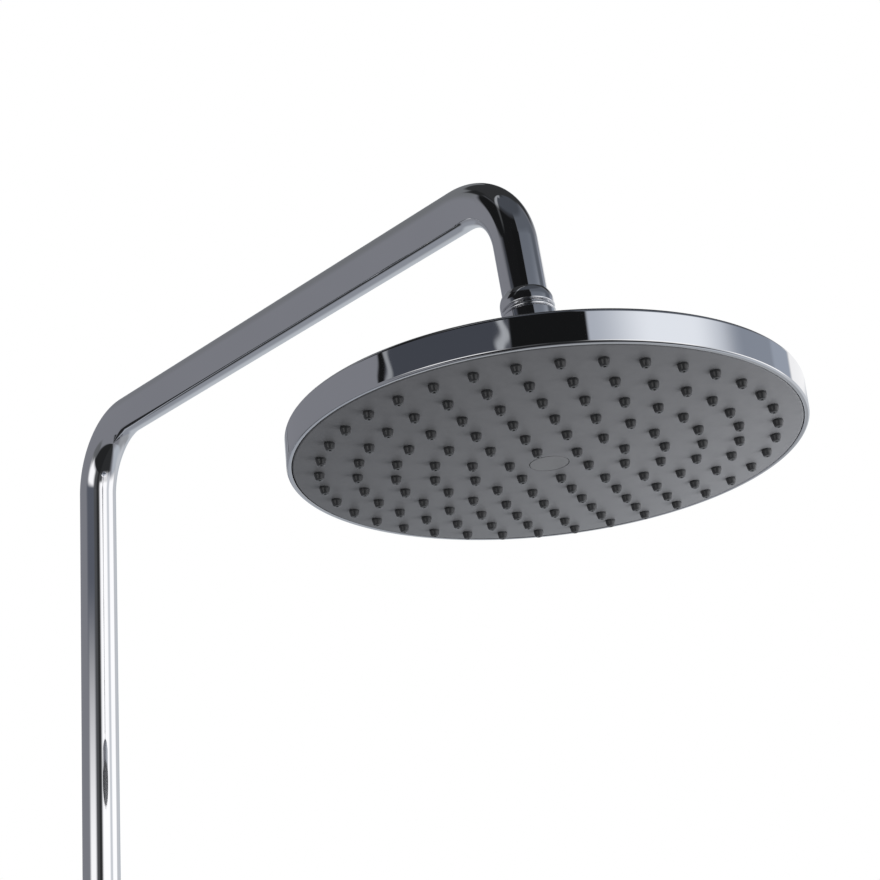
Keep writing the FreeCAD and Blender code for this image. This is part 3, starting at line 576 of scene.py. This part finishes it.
def faceplate():
    """Domed spray plate with a pocket for the cap, and its hub."""
    bowl_start = HUB_RADIUS + HUB_MARGIN
    bowl_end = PLATE_RADIUS - PLATE_MARGIN
    return turned([
        (SCREW_RECESS, POCKET_FLOOR, FINE),
        (POCKET_RADIUS, POCKET_FLOOR, FINE),
        (POCKET_RADIUS, bowl(CAP_RADIUS), POCKET_ROUNDING),
        *curve(bowl, bowl_start, bowl_end, BOWL_STEPS),
        (PLATE_EDGE, bowl(PLATE_EDGE), PLATE_ROUNDING),
        (PLATE_EDGE, bowl_inside(PLATE_EDGE), PLATE_BACK_ROUNDING),
        *curve(bowl_inside, bowl_end, bowl_start, BOWL_INSIDE_STEPS),
        (HUB_RADIUS, bowl_inside(HUB_RADIUS), EASED),
        (HUB_RADIUS, HUB_TOP, EASED),
        (SCREW_HOLE, HUB_TOP, EASED),
        (SCREW_HOLE, SCREW_SEAT, EASED),
        (SCREW_RECESS, SCREW_SEAT, EASED),
    ], HEAD_FRAME, PLATE_SIDES)


def centre_cap():
    """Flat round cap over the plate's screw."""
    shape = Shape()
    shape.turn(outline([
        (CAP_PINHOLE, -PLATE_SAG, 0),
        (CAP_RADIUS, -PLATE_SAG, CAP_ROUNDING),
        (CAP_RADIUS, POCKET_FLOOR, FINE),
        (CAP_PINHOLE, POCKET_FLOOR, 0),
    ], closed=False), HEAD_FRAME, SMALL_SIDES, closed=False)
    return shape


def nozzle_mat():
    """All the nozzles, in rings on shared spokes, each with a small eye in its tip."""
    eye_floor = -NOZZLE_HEIGHT + NOZZLE_EYE_DEPTH
    nozzle = outline([
        (NOZZLE_PINHOLE, eye_floor, 0),
        (NOZZLE_EYE, eye_floor, CRISP),
        (NOZZLE_EYE, -NOZZLE_HEIGHT, NOZZLE_EYE_ROUNDING),
        (NOZZLE_TIP, -NOZZLE_HEIGHT, NOZZLE_TIP_ROUNDING),
        (NOZZLE_BASE, -NOZZLE_BELLY, NOZZLE_BELLY_ROUNDING),
        (NOZZLE_BASE, NOZZLE_ROOT, 0),
    ], closed=False, step=NOZZLE_STEP)
    shape = Shape()
    for ring in range(1, RINGS + 1):
        radius = FIRST_RING + (ring - 1) * RING_PITCH
        count = NOZZLES_PER_STEP * ring
        for number in range(count):
            angle = SPOKE_TURN + 2 * math.pi * number / count
            place = Vector((radius * math.sin(angle), -radius * math.cos(angle), bowl(radius)))
            shape.turn(nozzle, HEAD_FRAME @ Matrix.Translation(place), NOZZLE_SIDES, closed=False)
    return shape


# Foot and wall bracket

def union_nut():
    """Hexagon with turned chamfers at both ends and a round bore."""
    corner = UNION_FLATS / math.cos(HALF_FLAT)
    rise = UNION_BEVEL * math.cos(HALF_FLAT)
    bevel = [
        (0, corner - UNION_FACE_INSET),
        (rise * UNION_BEVEL_START, corner - UNION_BEVEL),
        (rise * UNION_BEVEL_END, corner),
    ]
    levels = [
        (0, UNION_BORE),
        *bevel,
        *((UNION_HEIGHT - height, limit) for height, limit in reversed(bevel)),
        (UNION_HEIGHT, TUBE_RADIUS + TUBE_CLEARANCE),
    ]
    shape = Shape()
    for height, limit in levels:
        for side in range(UNION_SIDES):
            angle = 2 * math.pi * side / UNION_SIDES
            flat = UNION_FLATS / math.cos((angle + HALF_FLAT) % (2 * HALF_FLAT) - HALF_FLAT)
            radius = min(flat, limit)
            shape.points.append(Vector((radius * math.cos(angle), radius * math.sin(angle), height)))
    for row in range(len(levels) - 1):
        shape.add_row(row * UNION_SIDES, (row + 1) * UNION_SIDES, UNION_SIDES)
    return shape


def bracket_rosette():
    """Cover over the wall plate, with a hole for the post."""
    inside = ROSETTE_RADIUS - ROSETTE_WALL
    ceiling = ROSETTE_DEPTH - ROSETTE_WALL
    return turned([
        (inside, 0, EASED),
        (ROSETTE_RADIUS, 0, ROSETTE_RIM_ROUNDING),
        (ROSETTE_RADIUS, ROSETTE_DEPTH, ROSETTE_ROUNDING),
        (POST_RADIUS + POST_CLEARANCE, ROSETTE_DEPTH, EASED),
        (POST_RADIUS + POST_CLEARANCE, ceiling, EASED),
        (inside, ceiling, ROSETTE_INNER_ROUNDING),
    ], WALL_FRAME, SIDES)


def bracket_holder():
    """Ring round the riser, and the post that carries it."""
    shape = turned([
        (HOLDER_BORE, -HOLDER_HALF, HOLDER_BORE_ROUNDING),
        (HOLDER_RADIUS, -HOLDER_HALF, HOLDER_ROUNDING),
        (HOLDER_RADIUS, HOLDER_HALF, HOLDER_ROUNDING),
        (HOLDER_BORE, HOLDER_HALF, HOLDER_BORE_ROUNDING),
    ], RISER_FRAME, SIDES)
    wall_end = WALL_DISTANCE - POST_END
    ring_end = WALL_DISTANCE - HOLDER_BORE - POST_SINK
    shape.turn(outline([
        (POST_BORE, wall_end, POST_BORE_ROUNDING),
        (POST_RADIUS, wall_end, POST_ROUNDING),
        (POST_RADIUS, ring_end, EASED),
        (POST_BORE, ring_end, EASED),
    ]), WALL_FRAME, SMALL_SIDES)
    return shape


# Pieces

def add_piece(name, shape, body, slot, *nodes):
    """Link a piece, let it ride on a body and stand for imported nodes."""
    piece = bpy.data.objects.new(name, shape.mesh(name))
    piece.data.materials.append(materials[slot])
    bpy.context.collection.objects.link(piece)
    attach(piece, body)
    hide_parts(*nodes)


add_piece("riser_pipe_surface", riser_pipe(), "column", "chrome", "riser_pipe")
add_piece("arm_nut_surface", arm_nut(), "column", "chrome", "arm_nut")
add_piece("swivel_body_surface", swivel_body(), "column", "chrome", "swivel_body")
add_piece("ball_nut_surface", ball_nut(), "column", "chrome", "ball_nut")
add_piece("top_shell_surface", top_shell(), "head", "chromed_shell", "top_shell")
add_piece("faceplate_surface", faceplate(), "head", "spray_plate", "faceplate")
add_piece("centre_cap_surface", centre_cap(), "head", "cap_plastic", "centre_cap")
add_piece("nozzle_mat_surface", nozzle_mat(), "head", "nozzle_rubber", "nozzle_mat")
add_piece("union_nut_surface", union_nut(), "column", "chrome", "union_nut")
add_piece("bracket_rosette_surface", bracket_rosette(), "column", "chrome", "bracket_rosette")
add_piece("bracket_holder_surface", bracket_holder(), "column", "chrome", "bracket_holder")


# Studio: a world of soft panels for the chrome to mirror, three soft lamps and a pale floor

PLAIN_LIGHT = 0.38
DIM = (0.222, 0.228, 0.255)
# Tints of the panels
SILVER = (0.96, 1.0, 1.06)
PEARL = (0.94, 1.0, 1.08)
STEEL_BLUE = (0.93, 1.0, 1.1)
MIST = (0.94, 1.0, 1.13)
HAZE = (0.93, 1.0, 1.13)
COOL = (0.90, 1.0, 1.19)
SLATE = (0.91, 1.0, 1.24)
WHITE = (1.0, 1.0, 1.01)
# Limits of the panels, in degrees
REAR = 190  # past the back at 180, so that no soft edge falls there
ZENITH = 90
NADIR = -90


class Sky:
    """World colour painted by direction: azimuth from the camera's side and elevation, in degrees."""

    def __init__(self, base):
        self.world = bpy.data.worlds.new("studio")
        bpy.context.scene.world = self.world
        self.world.use_nodes = True
        self.nodes = self.world.node_tree.nodes
        self.links = self.world.node_tree.links
        self.nodes.clear()
        place = self.nodes.new("ShaderNodeTexCoord")
        split = self.nodes.new("ShaderNodeSeparateXYZ")
        self.links.new(place.outputs["Generated"], split.inputs[0])
        front = self.math("MULTIPLY", split.outputs["Y"], -1.0)
        azimuth = self.math("ARCTAN2", split.outputs["X"], front)
        azimuth = self.math("SUBTRACT", azimuth, CAMERA_AZIMUTH)
        wrap = self.nodes.new("ShaderNodeMath")
        wrap.operation = "WRAP"
        self.links.new(azimuth, wrap.inputs[0])
        wrap.inputs[1].default_value = math.pi
        wrap.inputs[2].default_value = -math.pi
        self.azimuth = wrap.outputs[0]
        self.elevation = self.math("ARCSINE", split.outputs["Z"])
        self.base = base
        self.colour = None

    def math(self, operation, first, second=None):
        """Result of an operation on one or two values, the second a number or an output."""
        node = self.nodes.new("ShaderNodeMath")
        node.operation = operation
        self.links.new(first, node.inputs[0])
        if isinstance(second, float):
            node.inputs[1].default_value = second
        elif second is not None:
            self.links.new(second, node.inputs[1])
        return node.outputs[0]

    def edge(self, source, middle, soft, falling=False):
        """Smooth step of a direction from 0 to 1, or from 1 to 0, about a limit."""
        node = self.nodes.new("ShaderNodeMapRange")
        node.interpolation_type = "SMOOTHSTEP"
        self.links.new(source, node.inputs["Value"])
        node.inputs["From Min"].default_value = math.radians(middle - soft)
        node.inputs["From Max"].default_value = math.radians(middle + soft)
        node.inputs["To Min"].default_value = 1.0 if falling else 0.0
        node.inputs["To Max"].default_value = 0.0 if falling else 1.0
        return node.outputs["Result"]

    def wavy(self, swing, period):
        """Azimuth that swings to and fro with the elevation, both in degrees."""
        turns = self.math("MULTIPLY", self.elevation, 360.0 / period)
        shift = self.math("MULTIPLY", self.math("SINE", turns), math.radians(swing))
        return self.math("ADD", self.azimuth, shift)

    def panel(self, azimuths, elevations, brightness, soft, tint=SILVER, wave=None):
        """Panel between two azimuths and two elevations; soft is for its left, right, low and high edge."""
        across = self.wavy(*wave) if wave else self.azimuth
        weight = self.edge(across, azimuths[0], soft[0])
        for side in (
            self.edge(across, azimuths[1], soft[1], falling=True),
            self.edge(self.elevation, elevations[0], soft[2]),
            self.edge(self.elevation, elevations[1], soft[3], falling=True),
        ):
            weight = self.math("MULTIPLY", weight, side)
        mix = self.nodes.new("ShaderNodeMix")
        mix.data_type = "RGBA"
        self.links.new(weight, mix.inputs["Factor"])
        if self.colour:
            self.links.new(self.colour, mix.inputs["A"])
        else:
            mix.inputs["A"].default_value = (*self.base, 1)
        mix.inputs["B"].default_value = (*(brightness * part for part in tint), 1)
        self.colour = mix.outputs["Result"]

    def finish(self, plain):
        """Glossy rays see the panels, camera rays white and all others a plain soft light."""
        path = self.nodes.new("ShaderNodeLightPath")
        level = self.nodes.new("ShaderNodeMix")
        level.data_type = "RGBA"
        level.inputs["A"].default_value = (*grey(plain), 1)
        level.inputs["B"].default_value = (*grey(1), 1)
        self.links.new(path.outputs["Is Camera Ray"], level.inputs["Factor"])
        choice = self.nodes.new("ShaderNodeMix")
        choice.data_type = "RGBA"
        self.links.new(path.outputs["Is Glossy Ray"], choice.inputs["Factor"])
        self.links.new(level.outputs["Result"], choice.inputs["A"])
        self.links.new(self.colour, choice.inputs["B"])
        background = self.nodes.new("ShaderNodeBackground")
        self.links.new(choice.outputs["Result"], background.inputs["Color"])
        output = self.nodes.new("ShaderNodeOutputWorld")
        self.links.new(background.outputs["Background"], output.inputs["Surface"])


def paint_walls(sky):
    """Walls left, behind and above."""
    sky.panel((-REAR, -95), (36, 60), 0.18, soft=(1, 5, 12, 4))
    sky.panel((-REAR, -150), (-50, 4), 0.31, soft=(1, 8, 3, 4), tint=MIST)
    sky.panel((128, REAR), (-60, 23), 0.36, soft=(10, 1, 8, 2))
    sky.panel((146, REAR), (23, 37), 0.36, soft=(8, 1, 2, 4))
    sky.panel((-REAR, REAR), (57, ZENITH), 0.035, soft=(1, 1, 2, 1))
    sky.panel((-52, 122), (54, 87), 0.075, soft=(3, 8, 6, 3), tint=COOL)


def paint_backdrop(sky):
    """Bright backdrop behind the object."""
    sky.panel((-REAR, -168), (-22, 26), 0.54, soft=(1, 6, 8, 6), tint=PEARL)
    sky.panel((150, REAR), (-14, 26), 0.54, soft=(10, 1, 5, 6), tint=PEARL)
    sky.panel((170, REAR), (-22, -10), 0.54, soft=(5, 1, 8, 4), tint=PEARL)


def paint_low_left(sky):
    """Low left corner, with the arm's dark line."""
    sky.panel((-154.5, -142), (-64, -29), 0.035, soft=(4, 4, 3, 3))
    sky.panel((-168, -145), (-70, -50), 0.03, soft=(5, 5, 6, 5))
    sky.panel((-REAR, -110), (NADIR, -62), 0.03, soft=(1, 12, 8, 1))


def paint_high_right(sky):
    """Right wall, high."""
    sky.panel((18, 120), (29, 59), 0.125, soft=(4, 12, 3, 5), tint=COOL)
    sky.panel((126, REAR), (36, 62), 0.035, soft=(8, 1, 5, 4))
    sky.panel((21, 84), (30, 36), 0.25, soft=(5, 14, 3, 10), tint=COOL)


def paint_high_front(sky):
    """Black front, high, and a thin light line in it."""
    sky.panel((-93, 17), (27, 58), 0.010, soft=(2.5, 3, 2, 6))
    sky.panel((-112, -88), (50, 62), 0.02, soft=(4, 4, 3, 3))
    sky.panel((-60, -53), (36, 58), 0.07, soft=(3, 3, 6, 4))
    sky.panel((-61, -51), (56, 86), 0.36, soft=(3, 3, 5, 3))
    sky.panel((-61, -36), (79, 87), 0.30, soft=(3, 6, 2, 2))


def paint_slate_front(sky):
    """Slate front at the level of the band and of the riser, with wavy lines at its sides."""
    sky.panel((-74, -14), (19.5, 28), 0.064, soft=(4, 3, 1.5, 1), tint=SLATE)
    sky.panel((-66, -14), (14, 20), 0.115, soft=(9, 4, 3, 1), tint=SLATE)
    sky.panel((-17, 18), (-20, 20), 0.085, soft=(5, 3, 6, 2))
    sky.panel((0, 18), (-20, 20), 0.03, soft=(5, 3, 6, 2))
    sky.panel((-76.8, -73.2), (20, 26), 0.010, soft=(0.8, 0.8, 1, 1), wave=(0.6, 1.1))
    sky.panel((-72.8, -70.2), (20, 26), 0.32, soft=(0.8, 1.0, 1, 1), wave=(1.0, 1.0))
    sky.panel((-20, -16.2), (22, 29), 0.42, soft=(1.4, 1.0, 1, 1), wave=(1.5, 0.9))
    sky.panel((-14.8, 18.6), (20, 40), 0.009, soft=(0.8, 0.8, 1, 1))


def paint_low_front(sky):
    """Dark low front with a bright soft box."""
    sky.panel((-47, 24), (NADIR, -15), 0.02, soft=(5, 5, 5, 1))
    sky.panel((-62, -45), (-32, -12), 0.12, soft=(4, 4, 6, 3))
    sky.panel((-58, -19.5), (-12, 12.5), 1.14, soft=(9, 8, 5, 4), tint=WHITE)
    sky.panel((-68, -51), (-30, -5), 0.14, soft=(4, 5, 6, 6))


def paint_low_right(sky):
    """Low right: dark beside the camera, pale farther back."""
    sky.panel((15, 82), (NADIR, -19), 0.03, soft=(4, 12, 8, 1))
    sky.panel((93, 138), (-72, -8), 0.52, soft=(10, 6, 16, 8), tint=STEEL_BLUE)


def paint_band_right(sky):
    """Right wall at the level of the band."""
    sky.panel((88, 134.5), (20.3, 30), 0.29, soft=(5, 1.5, 0.5, 2), tint=COOL)
    sky.panel((118, 134.5), (20.3, 30), 0.37, soft=(2, 1.5, 0.5, 2), tint=COOL)
    sky.panel((18.8, 90), (20.3, 33.5), 0.50, soft=(0.9, 8, 0.5, 4), tint=HAZE)
    sky.panel((34, 80), (20.3, 32), 0.93, soft=(15, 13, 0.5, 4))
    sky.panel((135, 168), (20.3, 27), 0.98, soft=(2, 4, 0.5, 2), tint=WHITE)


def paint_soft_boxes(sky):
    """Tall soft boxes on the right, with darker stretches between them."""
    sky.panel((20, 122), (-5, 20), 1.20, soft=(8, 8, 10, 0.8), tint=WHITE)
    sky.panel((12, 32), (-16, 2), 0.08, soft=(3, 6, 6, 5))
    sky.panel((36, 66), (-18, -2), 0.85, soft=(10, 4, 8, 6), tint=WHITE)
    sky.panel((67, 83), (-14, 20), 0.70, soft=(6, 5, 10, 0.8))
    sky.panel((122, 154), (-28, 20), 0.62, soft=(8, 6, 14, 0.8))


def paint_studio():
    """The whole world, each group of panels over the ones before it."""
    sky = Sky(DIM)
    for paint in (
        paint_walls, paint_backdrop, paint_low_left, paint_high_right, paint_high_front,
        paint_slate_front, paint_low_front, paint_low_right, paint_band_right, paint_soft_boxes,
    ):
        paint(sky)
    sky.finish(PLAIN_LIGHT)


paint_studio()


def add_lamp(name, place, target, size, power):
    """Round soft lamp that no mirror and no camera shows."""
    lamp = bpy.data.lights.new(name, "AREA")
    lamp.shape = "DISK"
    lamp.size = size
    lamp.energy = power
    thing = bpy.data.objects.new(name, lamp)
    thing.location = place
    thing.rotation_euler = (Vector(target) - Vector(place)).to_track_quat("-Z", "Y").to_euler()
    thing.visible_glossy = False
    thing.visible_camera = False
    bpy.context.collection.objects.link(thing)


PLATE_TARGET = (0, -0.41, 0.757)  # near the middle of the spray plate
add_lamp("key", place=(1.4, -1.6, 2.2), target=(0, -0.3, 0.6), size=1.2, power=36)
add_lamp("low_side", place=(0.25, -0.53, 0.60), target=PLATE_TARGET, size=0.36, power=1.5)
add_lamp("low_back", place=(0.38, -0.12, 0.56), target=PLATE_TARGET, size=0.40, power=1.1)


FLOOR_GLOW = 0.28
FLOOR_HALF = 4.0
FLOOR_HEIGHT = -0.002


def floor_paint():
    """Pale paint, open from below, that glows a little to the camera so that it stays pale far away."""
    paint = surface("floor", grey(0.76), grey(0.80), scale=3.0, roughness=(0.7, 0.8))
    nodes, links = paint.node_tree.nodes, paint.node_tree.links
    shader = next(node for node in nodes if node.type == "BSDF_PRINCIPLED")
    output = next(node for node in nodes if node.type == "OUTPUT_MATERIAL")
    path = nodes.new("ShaderNodeLightPath")
    shader.inputs["Emission Color"].default_value = (*grey(FLOOR_GLOW), 1)
    links.new(path.outputs["Is Camera Ray"], shader.inputs["Emission Strength"])
    side = nodes.new("ShaderNodeNewGeometry")
    clear = nodes.new("ShaderNodeBsdfTransparent")
    both = nodes.new("ShaderNodeMixShader")
    links.new(side.outputs["Backfacing"], both.inputs["Fac"])
    links.new(shader.outputs["BSDF"], both.inputs[1])
    links.new(clear.outputs["BSDF"], both.inputs[2])
    links.new(both.outputs["Shader"], output.inputs["Surface"])
    return paint


def add_floor():
    """Square floor just under the foot."""
    mesh = bpy.data.meshes.new("floor")
    corners = ((-1, -1), (1, -1), (1, 1), (-1, 1))
    mesh.from_pydata([(x * FLOOR_HALF, y * FLOOR_HALF, FLOOR_HEIGHT) for x, y in corners], [], [(0, 1, 2, 3)])
    mesh.materials.append(floor_paint())
    floor = bpy.data.objects.new("floor", mesh)
    bpy.context.collection.objects.link(floor)
    floor.visible_glossy = False


add_floor()


def add_camera():
    """Camera at the photograph's place and angle."""
    back = Vector((
        math.sin(CAMERA_AZIMUTH) * math.cos(CAMERA_ELEVATION),
        -math.cos(CAMERA_AZIMUTH) * math.cos(CAMERA_ELEVATION),
        math.sin(CAMERA_ELEVATION),
    ))
    level = Vector((0, 0, 1)).cross(back).normalized()
    upright = back.cross(level)
    right = level * math.cos(CAMERA_ROLL) - upright * math.sin(CAMERA_ROLL)
    up = upright * math.cos(CAMERA_ROLL) + level * math.sin(CAMERA_ROLL)
    lens = bpy.data.cameras.new("camera")
    lens.sensor_width = SENSOR
    lens.lens = FOCAL_PIXELS / IMAGE_SIDE * SENSOR
    lens.clip_start = CAMERA_NEAR
    camera = bpy.data.objects.new("camera", lens)
    camera.matrix_world = Matrix.Translation(CAMERA_PLACE) @ Matrix((right, up, back)).transposed().to_4x4()
    bpy.context.collection.objects.link(camera)
    bpy.context.scene.camera = camera


add_camera()
bpy.context.scene.view_settings.view_transform = "Standard"
